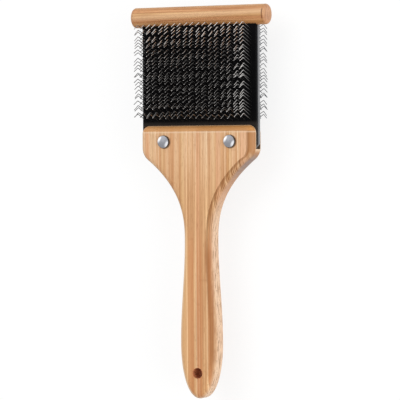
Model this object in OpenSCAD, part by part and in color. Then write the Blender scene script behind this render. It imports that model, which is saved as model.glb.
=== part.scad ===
/* [Handle] */
// Length of the handle, from the top of its fork to the tip of the grip
handle_len = 182; // [160:1:220]
// Thickness of the board that the handle is cut from
board_t = 14.4; // [13:0.2:18]
// Width across the fork
fork_w = 83.8; // [70:0.2:95]
// Radius of the rounding along every edge of the board
edge_r = 4; // [2.5:0.25:5]
// Radius of the fork's corners, and width of the rounding along its sides
fork_r = 5.4; // [5:0.1:8]
// Length of the fork's straight sides
side_len = 14.8; // [10:0.2:20]
// Radius of the fork's shoulders
shoulder_r = 10; // [6:0.5:14]
// Slope of the shoulders, from the handle's length
shoulder_angle = 52; // [42:1:56]
// Hollowness of the curve from the shoulders to the neck
flare_power = 2.5; // [2:0.1:3]
// Width of the neck
neck_w = 21; // [16:0.1:24]
// Width of the grip where it is widest
grip_w = 27.2; // [24:0.2:32]
// Distance from the widest part of the grip to the tip
grip_end = 37; // [30:1:50]
// Diameter of the hanging hole
hole_d = 7; // [5:0.2:8]
// Distance from the centre of the hanging hole to the tip
hole_from_tip = 17; // [14:0.5:22]

/* [Head] */
// Height of the bare head, from the fork to the top bar
head_h = 66.2; // [45:0.1:90]
// Distance of the head's side edges inside the fork's sides
head_inset = 0; // [0:0.1:1]
// Thickness of one spring leaf
leaf_t = 0.6; // [0.4:0.05:0.8]
// Thickness of one pin pad
pad_t = 2.6; // [2:0.1:3.2]
// Depth of the slot in the fork
slot_depth = 16; // [15:0.5:20]
// Size of the cut across the head's lower corners
corner_cut = 3; // [1:0.5:5]
// Play of the head in its two slots, on each face
slot_play = 0.05; // [0.02:0.01:0.2]
// Play between the head's ends and the bottoms of the slots
end_play = 0.3; // [0.1:0.1:1]

/* [Pins] */
// Thickness of the pin wire
wire_t = 0.45; // [0.35:0.05:0.6]
// Height of the bend above the face of the pad
bend_h = 13.2; // [8:0.1:14]
// Height of the pin tips above the face of the pad
tip_h = 18.5; // [15:0.1:22]
// Lean of the pins towards the top bar
lean_angle = 18.1; // [5:0.1:22]
// Angle by which the tips point back towards the grip
hook_angle = 27; // [10:0.2:40]
// Distance between the two legs of one staple
staple_w = 4.23; // [3:0.01:6]
// Distance from one staple to the next in a row
staple_pitch = 9.15; // [8:0.05:12]
// Distance between rows
row_pitch = 2.41; // [2:0.01:4]
// Distance of the first row of crowns above the fork
first_row = 2.1; // [1:0.1:4]
// Least distance of the last row of crowns below the top bar
last_row = 3.2; // [2:0.1:6]
// Least distance of the outer pins from the head's side edges
side_margin = 2.5; // [1.5:0.1:5]
// Play of the wire in the pad
wire_play = 0.05; // [0.02:0.01:0.1]

/* [Top bar] */
// Diameter of the top bar
bar_d = 13.6; // [12:0.1:18]
// Length of the top bar past each side of the head
bar_overhang = 7.8; // [3:0.1:12]
// Radius of the rounding at the ends of the top bar
bar_end_r = 2; // [1:0.25:4]
// Depth of the slot in the underside of the top bar
bar_slot = 7; // [4:0.5:9]

/* [Rivets] */
// Distance of the rivets inside the fork's sides
rivet_inset = 17.5; // [13:0.1:22]
// Distance of the rivets below the top of the fork
rivet_drop = 10.7; // [9:0.1:12]
// Diameter of a rivet's heads
rivet_head_d = 8.3; // [7:0.1:11]
// Height of a rivet's heads at their rim
rivet_rim_h = 1.2; // [0.6:0.1:1.6]
// Height of the crown of a rivet's head above its rim
rivet_crown_h = 0.6; // [0.3:0.1:1.2]
// Diameter of a rivet's hollow shank
rivet_shank_d = 4; // [3:0.1:5]
// Diameter of the peg that fills the shank
rivet_peg_d = 2.5; // [1.6:0.1:3]
// Play of the shank in its holes, and of the peg in the shank, all round
rivet_play = 0.05; // [0.02:0.01:0.15]
// Gap between the end of the peg and the front head
peg_gap = 0.3; // [0.1:0.1:1]

/* [Hidden] */

// The head is two pads on two leaves, back to back
head_w = fork_w - 2 * head_inset;
stack_t = 2 * (leaf_t + pad_t);
slot_t = stack_t + 2 * slot_play;
head_bottom = -(slot_depth - end_play);
head_top = head_h + bar_slot - end_play;
bar_y = head_h + bar_d / 2;
reach_z = leaf_t + pad_t + tip_h;
bar_len = head_w + 2 * bar_overhang;
rivet_x = fork_w / 2 - rivet_inset;

// The rounding can't be larger than the wall of the fork
round_r = min(edge_r, (board_t - slot_t) / 2);
core_half = board_t / 2 - round_r;

// Bend and tip of a pin's wire, seen along the row, from where it leaves the leaf
bend_y = (pad_t + bend_h) * tan(lean_angle);
tip_y = bend_y - (tip_h - bend_h) * tan(hook_angle);

// Pattern of the staples, centred on the head's width
staples = floor((head_w - 2 * side_margin - staple_w) / staple_pitch) + 1;
rows = floor((head_h - first_row - last_row) / row_pitch) + 1;

// Levels along the handle, downwards from the top of the fork
shoulder_end = side_len + shoulder_r * sin(shoulder_angle);
shoulder_half = fork_w / 2 - shoulder_r * (1 - cos(shoulder_angle));
flare = shoulder_half - neck_w / 2;
neck_level = shoulder_end + flare_power * flare / tan(shoulder_angle);
grip_level = handle_len - grip_end;
grip_power = 2.1;

// Steps of the handle's surface, which starts and ends in a narrow flat at first_angle
edge_steps = 6;
corner_steps = 6;
shoulder_steps = 5;
flare_steps = 10;
grip_steps = 8;
end_steps = 9;
first_angle = 9;
slope_step = 0.05;
full_width = 0.98;
bar_steps = 6;
crown_steps = 8;
$fn = 64;
eps = 1;

function arc_drop(a) = round_r * (1 - cos(a));

// The model lies on its back pins, with the middle of its length over the origin
end_drop = arc_drop(first_angle);
tip_level = handle_len - end_drop;
origin_y = (bar_y + bar_d / 2 - tip_level) / 2;

// Moves a piece from the head's frame, with the top of the fork at y = 0 and the middle
// of the thickness at z = 0, to where the brush lies
module laid() {
    translate([0, -origin_y, reach_z]) children();
}

// Half the handle's width at a level: side, shoulder arc, power curve to the neck, cosine
// swell of the grip and a superellipse round the tip
function half_width(s) =
    s <= side_len ? fork_w / 2 :
    s <= shoulder_end ? fork_w / 2 - shoulder_r + sqrt(shoulder_r ^ 2 - (s - side_len) ^ 2) :
    s <= neck_level ? neck_w / 2
        + flare * (1 - (s - shoulder_end) / (neck_level - shoulder_end)) ^ flare_power :
    s <= grip_level ? neck_w / 2
        + (grip_w - neck_w) / 4 * (1 - cos(180 * (s - neck_level) / (grip_level - neck_level))) :
    grip_w / 2 * max(0, 1 - ((s - grip_level) / grip_end) ^ grip_power) ^ (1 / grip_power);

function slope(s) = (half_width(s + slope_step) - half_width(s - slope_step)) / (2 * slope_step);

// Height of the rounded edge at a distance from the end of the board
function edge_rise(d) = d >= round_r ? round_r : sqrt(round_r ^ 2 - (round_r - d) ^ 2);

// Levels of the handle's rings: dense where the outline turns
top_levels = [for (i = [0 : edge_steps])
    (fork_r - end_drop) * (1 - cos(90 * i / edge_steps))];
ring_levels = concat(
    top_levels,
    [for (i = [0 : shoulder_steps])
        side_len + shoulder_r * sin(shoulder_angle * i / shoulder_steps)],
    [for (i = [1 : flare_steps])
        shoulder_end + (neck_level - shoulder_end) * i / flare_steps],
    [for (i = [1 : grip_steps])
        neck_level + (grip_level - neck_level) * i / grip_steps],
    [for (i = [1 : end_steps - 1])
        grip_level + grip_end * sin(90 * i / end_steps)],
    [handle_len - arc_drop(2 * first_angle), tip_level]
);

// One ring of the handle: a rectangle with elliptical corners, which are as wide as the
// plan's own corners at the top of the fork, and as its slope asks further down
function ring(s) =
    let (
        below_top = min(s + end_drop, fork_r),
        rise = edge_rise(min(s + end_drop, handle_len - s)),
        top_x = sqrt(fork_r ^ 2 - (fork_r - below_top) ^ 2),
        slant = round_r * sqrt(1 + slope(s) ^ 2),
        half = half_width(s) - fork_r + top_x,
        corner_x = s <= side_len ? top_x :
            s <= shoulder_end ? max(fork_r, slant) : min(full_width * half, slant),
        half_z = core_half + rise
    )
    [for (q = [0 : 3]) for (k = [0 : corner_steps])
        let (
            a = 90 * q + 90 * k / corner_steps,
            side_x = q == 0 || q == 3 ? 1 : -1,
            side_z = q < 2 ? 1 : -1
        )
        [
            side_x * (half - corner_x) + corner_x * cos(a),
            -s,
            side_z * (half_z - rise) + rise * sin(a)
        ]
    ];

module board() {
    rings = [for (s = ring_levels) ring(s)];
    n = 4 * (corner_steps + 1);
    last = len(rings) - 1;
    points = [for (r = rings) for (p = r) p];
    sides = [for (i = [0 : last - 1]) for (j = [0 : n - 1])
        let (a = i * n + j, b = i * n + (j + 1) % n)
        each [[a, a + n, b], [b, a + n, b + n]]];
    caps = [for (j = [1 : n - 2]) each [
        [0, j, j + 1],
        [last * n, last * n + j + 1, last * n + j]
    ]];
    polyhedron(points = points, faces = concat(sides, caps), convexity = 6);
}

// Places its children at both rivets
module at_rivet(side) {
    translate([side * rivet_x, -rivet_drop, 0]) children();
}

module rivet_hole(h) {
    cylinder(d = rivet_shank_d + 2 * rivet_play, h = h, center = true);
}

module handle() {
    color("burlywood") laid() difference() {
        board();
        translate([-fork_w / 2 - eps, -slot_depth, -slot_t / 2])
            cube([fork_w + 2 * eps, slot_depth + eps, slot_t]);
        for (side = [-1, 1]) at_rivet(side) rivet_hole(board_t + 2 * eps);
        translate([0, hole_from_tip - handle_len, 0])
            cylinder(d = hole_d, h = board_t + 2 * eps, center = true);
    }
}

// Outline of the top bar from its axis to its skin, with rounded ends
function bar_outline() = concat(
    [[0, -bar_len / 2]],
    [for (i = [0 : bar_steps]) let (a = 90 * i / bar_steps)
        [bar_d / 2 - bar_end_r * (1 - sin(a)), -bar_len / 2 + bar_end_r * (1 - cos(a))]],
    [for (i = [bar_steps : -1 : 0]) let (a = 90 * i / bar_steps)
        [bar_d / 2 - bar_end_r * (1 - sin(a)), bar_len / 2 - bar_end_r * (1 - cos(a))]],
    [[0, bar_len / 2]]
);

module top_bar() {
    color("tan") laid() difference() {
        translate([0, bar_y, 0]) rotate([0, 90, 0]) rotate_extrude() polygon(bar_outline());
        translate([-head_w / 2 - slot_play, head_h - eps, -slot_t / 2])
            cube([head_w + 2 * slot_play, bar_slot + eps, slot_t]);
    }
}

// Outline of the head: a rectangle whose lower corners are cut off inside the slot
module head_outline() {
    difference() {
        polygon([
            [-head_w / 2 + corner_cut, head_bottom],
            [head_w / 2 - corner_cut, head_bottom],
            [head_w / 2, head_bottom + corner_cut],
            [head_w / 2, head_top],
            [-head_w / 2, head_top],
            [-head_w / 2, head_bottom + corner_cut]
        ]);
        for (side = [-1, 1]) at_rivet(side) circle(d = rivet_shank_d + 2 * rivet_play);
    }
}

module leaf() {
    linear_extrude(leaf_t) head_outline();
}

// Section of one row of pins, seen along the row: the crown's foot on the leaf, the
// leaning leg, the bend and the hooked tip, all grown by the given play
module row_section(play) {
    half = wire_t / 2 + play;
    foot_z = leaf_t - play;
    bend_z = leaf_t + pad_t + bend_h;
    leg_half = half / cos(lean_angle);
    tip_half = half / cos(hook_angle);
    mid_angle = (hook_angle - lean_angle) / 2;
    mitre = half / cos((lean_angle + hook_angle) / 2);
    foot_y = -play * tan(lean_angle);
    polygon([
        [foot_y - leg_half, foot_z],
        [bend_y - mitre * cos(mid_angle), bend_z - mitre * sin(mid_angle)],
        [tip_y - tip_half, reach_z],
        [tip_y + tip_half, reach_z],
        [bend_y + mitre * cos(mid_angle), bend_z + mitre * sin(mid_angle)],
        [foot_y + leg_half, foot_z]
    ]);
}

// Staples of one row, seen from the grip: two legs each, joined by a crown on the leaf
module row_front(play) {
    out = staple_w / 2 + wire_t / 2 + play;
    in = staple_w / 2 - wire_t / 2 - play;
    low = leaf_t - play;
    crown = leaf_t + wire_t + play;
    for (i = [0 : staples - 1])
        translate([(i - (staples - 1) / 2) * staple_pitch, 0])
            polygon([
                [-out, low], [out, low], [out, reach_z + eps], [in, reach_z + eps],
                [in, crown], [-in, crown], [-in, reach_z + eps], [-out, reach_z + eps]
            ]);
}

// One row of staples: the wire's side section and its front outline, crossed
module staple_row(play = 0) {
    near_y = min(0, tip_y) - 2 * eps;
    far_y = bend_y + 2 * eps;
    intersection() {
        translate([-head_w / 2, 0, 0]) rotate([90, 0, 90]) linear_extrude(head_w) row_section(play);
        translate([0, far_y, 0]) rotate([90, 0, 0]) linear_extrude(far_y - near_y) row_front(play);
    }
}

module at_rows() {
    for (i = [0 : rows - 1]) translate([0, first_row + i * row_pitch, 0]) children();
}

module pad() {
    difference() {
        translate([0, 0, leaf_t]) linear_extrude(pad_t) head_outline();
        at_rows() staple_row(wire_play);
    }
}

// Outline of a rivet's head from its axis to its rim: a low rim under a crown
function rivet_head_outline() =
    let (r = rivet_head_d / 2, z0 = board_t / 2)
    concat(
        [[r, z0]],
        [for (i = [0 : crown_steps]) let (a = 90 * i / crown_steps)
            [r * cos(a), z0 + rivet_rim_h + rivet_crown_h * sin(a)]]
    );

// Front half of a rivet: its head and a hollow shank that ends level with the back face
module rivet() {
    bore_r = rivet_peg_d / 2 + rivet_play;
    shank_r = rivet_shank_d / 2;
    color("silver") difference() {
        rotate_extrude() polygon(concat(
            [[0, -board_t / 2], [shank_r, -board_t / 2], [shank_r, board_t / 2]],
            rivet_head_outline()
        ));
        translate([0, 0, -board_t / 2 - eps]) cylinder(r = bore_r, h = board_t + eps);
    }
}

// Back half of a rivet: its head and the peg that fills the shank
module rivet_cap() {
    peg_end = peg_gap - board_t / 2;
    color("silver") mirror([0, 0, 1]) rotate_extrude() polygon(concat(
        [[0, peg_end], [rivet_peg_d / 2, peg_end], [rivet_peg_d / 2, board_t / 2]],
        rivet_head_outline()
    ));
}

module front_leaf() {
    color("gainsboro") laid() leaf();
}

module back_leaf() {
    color("gainsboro") laid() mirror([0, 0, 1]) leaf();
}

module front_pad() {
    color("black") laid() pad();
}

module back_pad() {
    color("lightgray") laid() mirror([0, 0, 1]) pad();
}

module front_pins() {
    color("silver") laid() at_rows() staple_row();
}

module back_pins() {
    color("silver") laid() mirror([0, 0, 1]) at_rows() staple_row();
}

module left_rivet() {
    laid() at_rivet(-1) rivet();
}

module right_rivet() {
    laid() at_rivet(1) rivet();
}

module left_rivet_cap() {
    laid() at_rivet(-1) rivet_cap();
}

module right_rivet_cap() {
    laid() at_rivet(1) rivet_cap();
}

handle();
top_bar();
front_leaf();
back_leaf();
front_pad();
back_pad();
front_pins();
back_pins();
left_rivet();
right_rivet();
left_rivet_cap();
right_rivet_cap();
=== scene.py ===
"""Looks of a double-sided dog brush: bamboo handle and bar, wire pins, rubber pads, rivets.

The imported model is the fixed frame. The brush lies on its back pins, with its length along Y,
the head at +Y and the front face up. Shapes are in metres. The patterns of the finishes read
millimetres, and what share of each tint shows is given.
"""

import logging
import math
from dataclasses import dataclass
from enum import Enum

import bmesh
import bpy
import numpy as np
from mathutils import Matrix, Vector


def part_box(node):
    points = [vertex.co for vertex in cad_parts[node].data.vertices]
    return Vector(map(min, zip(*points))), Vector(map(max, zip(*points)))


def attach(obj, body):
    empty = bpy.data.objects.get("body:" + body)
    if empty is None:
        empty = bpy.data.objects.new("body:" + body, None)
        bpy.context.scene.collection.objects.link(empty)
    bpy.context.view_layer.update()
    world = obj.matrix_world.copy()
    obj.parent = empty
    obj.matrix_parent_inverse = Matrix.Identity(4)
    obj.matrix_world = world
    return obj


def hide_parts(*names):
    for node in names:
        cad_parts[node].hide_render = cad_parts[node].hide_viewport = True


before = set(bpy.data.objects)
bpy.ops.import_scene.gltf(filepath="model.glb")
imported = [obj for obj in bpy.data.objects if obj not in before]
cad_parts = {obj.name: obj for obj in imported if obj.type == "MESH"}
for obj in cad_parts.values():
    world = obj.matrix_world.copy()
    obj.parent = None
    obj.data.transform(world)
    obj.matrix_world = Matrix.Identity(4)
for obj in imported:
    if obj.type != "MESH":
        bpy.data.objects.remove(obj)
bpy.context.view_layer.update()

MM = 0.001
BODY = "root"
log = logging.getLogger("brush")

# Points of a mesh that are nearer than this, in metres, are one point.
SAME = 1e-7
# How far a cutter reaches past the piece that it cuts.
CUT_OVER = 1 * MM
# A point of the board is on the flat of a face where its rim value is over this.
FLAT = 0.99995
# The Mix node's sockets for colours: the share of the second, the two colours, the result.
MIX_SHARE, MIX_FIRST, MIX_SECOND, MIX_RESULT = 0, 6, 7, 2

Socket = bpy.types.NodeSocket
Colour = tuple[float, float, float, float]
Shade = Colour | Socket
Number = "Term | float"
WHITE = (1.0, 1.0, 1.0, 1.0)


class Face(Enum):
    """The two faces of the head, as the sign of Z from the middle of the thickness."""

    FRONT = 1
    BACK = -1


class Hand(Enum):
    """The two sides of the brush, as the sign of X."""

    LEFT = -1
    RIGHT = 1


class Grain(Enum):
    """Axes of a piece of wood: across its strips, along its fibres, through its depth."""

    ALONG_HANDLE = (0, 1, 2)
    ALONG_BAR = (1, 0, 2)


class Spin(Enum):
    """The axis that a profile is turned round: which of its radius times cosine, radius
    times sine, and level go to X, Y and Z."""

    ROUND_X = (2, 0, 1)
    ROUND_Z = (0, 1, 2)


def srgb(*channels: int) -> Colour:
    """The linear colour that shaders use, of a screen colour from 0 to 255 a channel."""
    shares = (c / 255 for c in channels)
    return (*(c / 12.92 if c <= 0.04045 else ((c + 0.055) / 1.055) ** 2.4 for c in shares), 1.0)


def arc(start: float, end: float, count: int) -> np.ndarray:
    """Evenly spaced angles, given in degrees and returned in radians."""
    return np.radians(np.linspace(start, end, count))


def unit(rows: np.ndarray) -> np.ndarray:
    """Each row divided by its length."""
    return rows / np.linalg.norm(rows, axis=1, keepdims=True)


class Term:
    """One number in a material's node tree, with the operators of plain arithmetic."""

    def __init__(self, kit: "Kit", socket: Socket) -> None:
        """Keeps the node kit and the output socket that the number comes from."""
        self.kit = kit
        self.socket = socket

    def _math(self, operation: str, *values: Number) -> "Term":
        """One Math node: its operation, such as MULTIPLY, and its operands in order."""
        return self.kit.term("ShaderNodeMath", {"operation": operation}, dict(enumerate(values)))

    def __add__(self, other: Number) -> "Term":
        """self + other."""
        return self._math("ADD", self, other)

    __radd__ = __add__

    def __sub__(self, other: Number) -> "Term":
        """self - other."""
        return self._math("SUBTRACT", self, other)

    def __rsub__(self, other: float) -> "Term":
        """other - self."""
        return self._math("SUBTRACT", other, self)

    def __mul__(self, other: Number) -> "Term":
        """self * other."""
        return self._math("MULTIPLY", self, other)

    __rmul__ = __mul__

    def __truediv__(self, other: Number) -> "Term":
        """self / other."""
        return self._math("DIVIDE", self, other)

    def __rtruediv__(self, other: float) -> "Term":
        """other / self."""
        return self._math("DIVIDE", other, self)

    def __pow__(self, other: float) -> "Term":
        """self ** other."""
        return self._math("POWER", self, other)

    def __abs__(self) -> "Term":
        """Distance from zero."""
        return self._math("ABSOLUTE", self)

    def fraction(self) -> "Term":
        """The number without its whole part."""
        return self._math("FRACT", self)

    def rise(self, low: float, high: float) -> "Term":
        """A smooth step.

        Args:
            low: where the step is 0.
            high: where the step is 1; it may be under low, for a step that falls.

        Returns:
            A number from 0 to 1.
        """
        settings = {"interpolation_type": "SMOOTHSTEP"}
        sockets = {"Value": self, "From Min": low, "From Max": high}
        return self.kit.term("ShaderNodeMapRange", settings, sockets)


class Kit:
    """The node tree of one material, and the few nodes that the finishes are built from."""

    def __init__(self, name: str) -> None:
        """Makes a new material with a Principled shader.

        Args:
            name: the material's name.
        """
        self.material = bpy.data.materials.new(name)
        self.material.use_nodes = True
        self.tree = self.material.node_tree
        self.shader = self.tree.nodes["Principled BSDF"]

    @classmethod
    def around(cls, tree: bpy.types.NodeTree) -> "Kit":
        """Args:
            tree: the node tree, such as a world's.

        Returns:
            A kit without a material.
        """
        kit = cls.__new__(cls)
        kit.tree = tree
        return kit

    def feed(self, node: bpy.types.Node, sockets: dict) -> None:
        """Sets or links a node's inputs.

        Args:
            node: the node.
            sockets: a value, a Term or an output socket for each input, by index or name.
        """
        for key, value in sockets.items():
            if isinstance(value, Term):
                value = value.socket
            if isinstance(value, Socket):
                self.tree.links.new(value, node.inputs[key])
            else:
                node.inputs[key].default_value = value

    def node(self, kind: str, settings: dict, sockets: dict) -> bpy.types.Node:
        """Adds any node.

        Args:
            kind: the node's type.
            settings: its properties, set before its sockets.
            sockets: what feeds its inputs.

        Returns:
            The new node.
        """
        made = self.tree.nodes.new(kind)
        for key, value in settings.items():
            setattr(made, key, value)
        self.feed(made, sockets)
        return made

    def term(self, kind: str, settings: dict, sockets: dict) -> Term:
        """Adds any node whose first output is a number, and gives that number."""
        return Term(self, self.node(kind, settings, sockets).outputs[0])

    def place(self) -> tuple[Term, ...]:
        """Reads where a point of the surface is.

        Returns:
            Its X, Y and Z in the brush's own frame, in millimetres.
        """
        where = self.node("ShaderNodeTexCoord", {}, {}).outputs["Object"]
        split = self.node("ShaderNodeSeparateXYZ", {}, {0: where})
        return tuple(Term(self, output) / MM for output in split.outputs)

    def noise(self, x: Number, y: Number, z: Number, detail: float = 2.0) -> Term:
        """Smooth noise at a point, in cells about one unit across.

        Args:
            x: the point's X.
            y: its Y.
            z: its Z.
            detail: how many finer layers of noise are added.

        Returns:
            A number from 0 to 1.
        """
        point = self.node("ShaderNodeCombineXYZ", {}, {0: x, 1: y, 2: z}).outputs[0]
        sockets = {"Vector": point, "Scale": 1.0, "Detail": detail}
        return self.term("ShaderNodeTexNoise", {}, sockets)

    def strips(self, across: Term, seed: float) -> tuple[Term, Term, Term]:
        """Strips of uneven width, about one unit each.

        Args:
            across: the distance across the strips, in strip widths.
            seed: shifts the pattern.

        Returns:
            Two random numbers for each strip, and the distance to the nearest joint.
        """
        flat = {"voronoi_dimensions": "1D"}
        edges = {**flat, "feature": "DISTANCE_TO_EDGE"}
        sockets = {"W": across + seed, "Scale": 1.0, "Randomness": 0.75}
        cells = self.node("ShaderNodeTexVoronoi", flat, sockets).outputs["Color"]
        tints = self.node("ShaderNodeSeparateColor", {}, {0: cells}).outputs
        gap = self.term("ShaderNodeTexVoronoi", edges, sockets)
        return Term(self, tints[0]), Term(self, tints[1]), gap

    def mix(self, share: Number, first: Shade, second: Shade) -> Socket:
        """Mixes two colours, where share is how much of the second shows."""
        sockets = {MIX_SHARE: share, MIX_FIRST: first, MIX_SECOND: second}
        return self.node("ShaderNodeMix", {"data_type": "RGBA"}, sockets).outputs[MIX_RESULT]

    def paint(self, colour: Shade, *coats: tuple[Number, Shade]) -> Shade:
        """Lays coats over a colour, one after another.

        Args:
            colour: the colour underneath.
            coats: for each coat, how much of it shows, and its colour.

        Returns:
            The colour of them all.
        """
        for share, tint in coats:
            colour = self.mix(share, colour, tint)
        return colour

    def relief(self, height: Term, depth: float, strength: float) -> Socket:
        """The bumped normal for a height from 0 to 1, its real depth, and how much counts."""
        sockets = {"Height": height, "Distance": depth, "Strength": strength}
        return self.node("ShaderNodeBump", {}, sockets).outputs[0]

    def by_sight(self, light: Socket, sight: Socket, output: str) -> None:
        """Shows one shader to the camera, and also where a reflection or glass sends the
        camera's rays on, and another one to all other light.

        Args:
            light: the shader that other light meets.
            sight: the shader that is seen.
            output: name of the tree's output node.
        """
        path = self.node("ShaderNodeLightPath", {}, {})
        rays = ("Is Camera Ray", "Is Glossy Ray", "Is Transmission Ray")
        camera, glossy, clear = (Term(self, path.outputs[ray]) for ray in rays)
        seen = 1 - (1 - camera) * (1 - glossy) * (1 - clear)
        pick = self.node("ShaderNodeMixShader", {}, {0: seen, 1: light, 2: sight})
        self.feed(self.tree.nodes[output], {"Surface": pick.outputs[0]})


@dataclass(frozen=True)
class Datum:
    """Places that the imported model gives."""

    mid_z: float
    fork_y: float
    bar_y: float
    bar_half: float

    @classmethod
    def of_frame(cls) -> "Datum":
        """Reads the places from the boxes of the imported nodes.

        Returns:
            The places.
        """
        leaf_low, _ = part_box("front_leaf")
        _, handle_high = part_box("handle")
        bar_low, bar_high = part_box("top_bar")
        return cls(leaf_low.z, handle_high.y, (bar_low.y + bar_high.y) / 2, bar_high.x)


@dataclass(frozen=True)
class Bamboo:
    """Strips of bamboo glued side by side, sanded and lacquered."""

    name: str
    grain: Grain
    strip_w: float
    fibre_w: float
    seed: float
    pale: Colour
    dark: Colour
    rosy: Colour
    straw: Colour
    streak: Colour
    joint: Colour
    streak_share: float
    culm_joint_every: float = 130.0
    roughness: float = 0.42
    coat: float = 0.1
    coat_roughness: float = 0.35
    specular: float = 0.3
    fibre_depth: float = 0.05 * MM

    def body(self, kit: Kit, dark: Shade, pale: Shade) -> tuple[Shade, Term, Term]:
        """The wood itself, without its edges.

        Args:
            kit: the material's node kit.
            dark: colour of the darkest bundles of fibres.
            pale: colour of the palest.

        Returns:
            The colour, the relief of the fibres, and the tone of each bundle of fibres.
        """
        place = kit.place()
        across, along, depth = (place[axis] for axis in self.grain.value)
        drift = kit.noise(along / 70, depth / 30, self.seed) - 0.5
        tone, hue, joint_gap = kit.strips(across / self.strip_w + drift * 0.3, self.seed)
        bundle, _, _ = kit.strips(across / self.fibre_w + drift * 0.5, self.seed + 40.0)
        fade = kit.noise(across * 1.1, along * 0.022, depth * 0.3 + self.seed)
        broad = kit.noise(across * 0.4, along * 0.010, depth * 0.15 + self.seed)
        lines = kit.noise(across * 1.7, along * 0.016, depth * 0.8 + self.seed, 3.0)
        hair = kit.noise(across * 4.2, along * 0.16, depth * 2.5)
        fleck = kit.noise(across * 2.2, along * 0.22, depth * 1.5 + self.seed)
        culm_joint = abs((along / self.culm_joint_every + tone * 5.3).fraction() - 0.5)
        level = tone * 0.22 + bundle * fade.rise(0.15, 0.5) * 0.62 + broad.rise(0.3, 0.7) * 0.22
        colour = kit.paint(
            kit.mix(level, dark, pale),
            (hue.rise(0.60, 0.80) * 0.5, self.rosy),
            (hue.rise(0.32, 0.12) * 0.4, self.straw),
            (lines.rise(0.50, 0.66) * self.streak_share, self.streak),
            (fleck.rise(0.56, 0.70) * 0.30, self.joint),
            (hair.rise(0.56, 0.74) * 0.25, self.joint),
            (joint_gap.rise(0.07, 0.0) * 0.4, self.joint),
            (culm_joint.rise(0.010, 0.002) * 0.16, self.joint),
        )
        return colour, hair, bundle

    def finish(self, kit: Kit, colour: Shade, hair: Term, bare: Number) -> bpy.types.Material:
        """Puts the colour, the lacquer's gloss and the relief of the fibres on the shader.

        Args:
            kit: the material's node kit.
            colour: the wood's colour.
            hair: the relief of the fibres.
            bare: 1 where the wood is unlacquered and dull.
        """
        kit.feed(kit.shader, {
            "Base Color": colour,
            "Roughness": hair * 0.14 + self.roughness + bare * 0.45,
            "Coat Weight": self.coat - bare * self.coat,
            "Coat Roughness": self.coat_roughness,
            "Specular IOR Level": self.specular,
            "Normal": kit.relief(hair, self.fibre_depth, 0.4),
        })
        return kit.material


@dataclass(frozen=True)
class Spot:
    """Where a point of the board is: its X, Y and Z, its height from the middle of the
    board, a rim value of 1 on the faces and 0 where the rounding meets the side, the
    distance below the fork's top, and 1 on the right half."""

    kit: Kit
    x: Term
    y: Term
    z: Term
    height: Term
    rim: Term
    below: Term
    right: Term

    @classmethod
    def on(cls, kit: Kit, board: "Handle") -> "Spot":
        """Works the place out from the point and the board's sizes.

        Args:
            kit: the material's node kit.
            board: the board.

        Returns:
            The place.
        """
        x, y, z = kit.place()
        height = abs(z - board.datum.mid_z / MM)
        rim = (height - board.core_half / MM) / (board.round_r / MM)
        below = board.datum.fork_y / MM - y
        return cls(kit, x, y, z, height, rim, below, x.rise(-3.0, 3.0))

    def from_axis(self, x: float, y: float) -> tuple[Term, Term, Term]:
        """The way to an axis through the board, or to its mirror image on the left.

        Args:
            x: the axis's distance from the centre line, in metres.
            y: the axis's place along the board, in metres.

        Returns:
            The point's way outwards, its way up, and its distance from the axis.
        """
        out, up = abs(self.x) - x / MM, self.y - y / MM
        return out, up, (out * out + up * up) ** 0.5


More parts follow.
